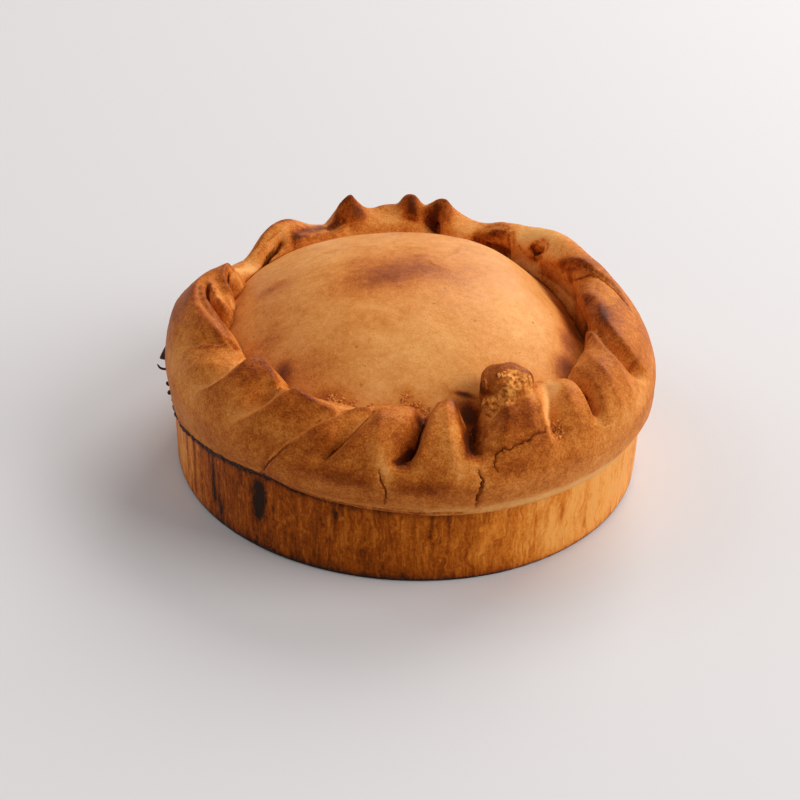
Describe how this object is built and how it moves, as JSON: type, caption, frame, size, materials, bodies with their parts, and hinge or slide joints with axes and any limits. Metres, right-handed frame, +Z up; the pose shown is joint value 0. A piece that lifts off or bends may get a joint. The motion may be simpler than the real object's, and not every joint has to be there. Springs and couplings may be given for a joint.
{
  "type": "whole chicken pie",
  "caption": "Whole round savoury pie: straight-sided raised crust, thick hand-pleated rim with a torn knob, and a low domed pastry lid tucked under the rim.",
  "frame": {"origin": "centre of the flat round base, where the pie stands", "axes": "+Z up through the middle of the lid; -Y towards the front, where the torn knob stands a little to the +X side"},
  "size_m": [0.1884, 0.1899, 0.0782],
  "materials": {
    "baked_rim": "matt browned pastry",
    "baked_lid": "golden pastry with a slight egg-wash sheen"
  },
  "bodies": {
    "root": {"crust_case": "baked_rim", "crust_lid": "baked_lid"}
  },
  "joints": []
}
